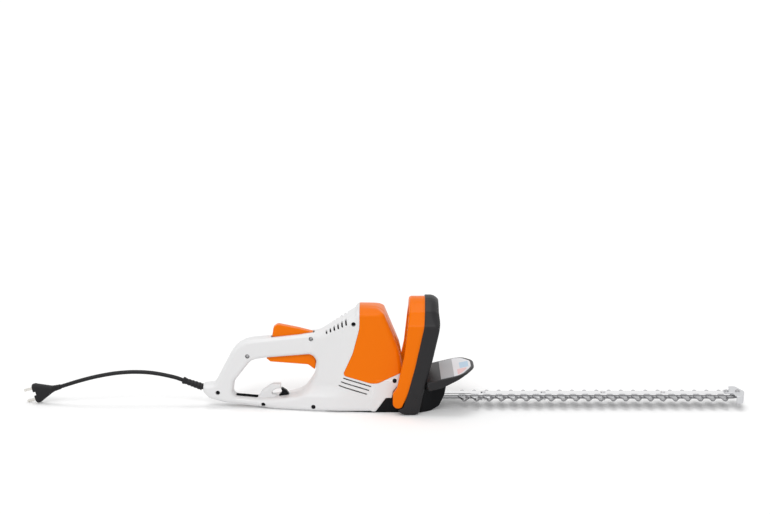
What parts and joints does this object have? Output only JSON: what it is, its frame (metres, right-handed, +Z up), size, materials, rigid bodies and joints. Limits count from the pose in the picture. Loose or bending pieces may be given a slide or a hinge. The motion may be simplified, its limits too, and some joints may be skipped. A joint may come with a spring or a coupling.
{
  "type": "hedge trimmer",
  "caption": "Corded hedge trimmer with a D-shaped rear handle, loop front handle with safety bail, hand guard, double-sided reciprocating blades, and a lead ending in a two-pin plug.",
  "frame": {"origin": "on the ground plane, under the crank gear's axis, in the tool's middle plane; the sole lies at Z = 0", "axes": "+X towards the blade tip, +Y to the far side (left hand seen from the rear), +Z up"},
  "size_m": [1.2324, 0.132, 0.1932],
  "materials": {
    "white_shell": "satin",
    "orange_plastic": "satin",
    "charcoal_plastic": "matte",
    "black_plastic": "matte",
    "black_rubber": "matte",
    "blade_steel": "ground",
    "tip_metal": "satin",
    "screw_steel": "satin",
    "plain_steel": "satin",
    "iron_stack": "matte",
    "copper_wire": "varnished",
    "bronze": "satin",
    "carbon": "matte",
    "capacitor_film": "gloss",
    "wire_sheath": "satin",
    "nickel": "plated"
  },
  "bodies": {
    "housing": {"shell_right": "white_shell", "shell_left": "white_shell", "motor_cover": "orange_plastic", "gearbox_housing": "black_plastic", "gear_plate": "tip_metal", "hand_guard": "charcoal_plastic", "loop_handle": "charcoal_plastic", "cord_clip": "black_plastic", "cord_boot": "black_rubber", "cord_clamp": "black_plastic", "support_bar": "blade_steel", "tip_guard": "tip_metal", "tip_screws": "screw_steel", "blade_screws": "plain_steel", "blade_nuts": "plain_steel", "shell_screws": "screw_steel", "sole_screws": "screw_steel", "handle_screws": "screw_steel", "screw_caps": "charcoal_plastic", "guard_screws": "screw_steel", "stator_stack": "iron_stack", "field_coils": "copper_wire", "motor_bracket": "tip_metal", "stator_screws": "screw_steel", "brush_holders": "black_plastic", "carbon_brushes": "carbon", "motor_bearing_lower": "plain_steel", "motor_bearing_upper": "plain_steel", "crank_bearing_upper": "plain_steel", "crank_bush_lower": "bronze", "rear_switch": "black_plastic", "front_switch": "black_plastic", "capacitor": "capacitor_film", "wiring": "wire_sheath", "rocker_pin": "plain_steel", "rocker_spring": "plain_steel", "bail_spring": "plain_steel", "cord": "black_rubber", "plug": "black_rubber", "plug_pins": "nickel"},
    "rotor": {"motor_shaft": "plain_steel", "armature": "iron_stack", "commutator": "copper_wire", "fan": "black_plastic", "pinion": "plain_steel"},
    "crank": {"crank_gear": "plain_steel", "crank_shaft": "plain_steel"},
    "upper_rod": {"rod_upper": "plain_steel"},
    "lower_rod": {"rod_lower": "plain_steel"},
    "upper_cutter": {"blade_upper": "blade_steel", "tail_pin_upper": "plain_steel"},
    "lower_cutter": {"blade_lower": "blade_steel", "tail_pin_lower": "plain_steel"},
    "rocker": {"rocker_lever": "orange_plastic"},
    "rear_button": {"rear_plunger": "orange_plastic"},
    "bail_lever": {"bail": "orange_plastic", "bail_shafts": "plain_steel"},
    "front_button": {"front_plunger": "orange_plastic"}
  },
  "joints": [
    {"name": "crank_spin", "type": "hinge", "parent": "housing", "child": "crank", "pos_m": [0, 0, 0.03], "axis": [0, 0, 1], "continuous": true},
    {"name": "rotor_spin", "type": "hinge", "parent": "housing", "child": "rotor", "pos_m": [-0.0425, 0, 0.03], "axis": [0, 0, 1], "continuous": true},
    {"name": "upper_rod_pivot", "type": "hinge", "parent": "crank", "child": "upper_rod", "pos_m": [0, 0.005, 0.0235], "axis": [0, 0, 1], "continuous": true},
    {"name": "lower_rod_pivot", "type": "hinge", "parent": "crank", "child": "lower_rod", "pos_m": [0, -0.005, 0.0131], "axis": [0, 0, 1], "continuous": true},
    {"name": "upper_blade_slide", "type": "slide", "parent": "housing", "child": "upper_cutter", "axis": [1, 0, 0], "range_m": [-0.005, 0.005]},
    {"name": "lower_blade_slide", "type": "slide", "parent": "housing", "child": "lower_cutter", "axis": [1, 0, 0], "range_m": [-0.005, 0.005]},
    {"name": "rocker_tilt", "type": "hinge", "parent": "housing", "child": "rocker", "pos_m": [-0.196, 0, 0.107], "axis": [0, -1, 0], "range_deg": [0, 4], "stiffness_Nm_per_rad": 2, "springref_deg": -5.73},
    {"name": "rear_button_slide", "type": "slide", "parent": "housing", "child": "rear_button", "axis": [0, 0, 1], "range_m": [0, 0.0018]},
    {"name": "bail_tilt", "type": "hinge", "parent": "housing", "child": "bail_lever", "pos_m": [-0.0075, 0, 0.024], "axis": [0, 1, 0], "range_deg": [0, 2.5], "stiffness_Nm_per_rad": 6, "springref_deg": -2.86},
    {"name": "front_button_slide", "type": "slide", "parent": "housing", "child": "front_button", "axis": [0, 0, 1], "range_m": [0, 0.00128]}
  ],
  "couplings": [
    {"joint": "rotor_spin", "follows": "crank_spin", "ratio": -5.1818},
    {"joint": "upper_rod_pivot", "follows": "crank_spin", "ratio": -1},
    {"joint": "lower_rod_pivot", "follows": "crank_spin", "ratio": -1},
    {"joint": "lower_blade_slide", "follows": "upper_blade_slide", "ratio": -1},
    {"joint": "rear_button_slide", "follows": "rocker_tilt", "m_per_rad": 0.025},
    {"joint": "front_button_slide", "follows": "bail_tilt", "m_per_rad": 0.0285}
  ]
}
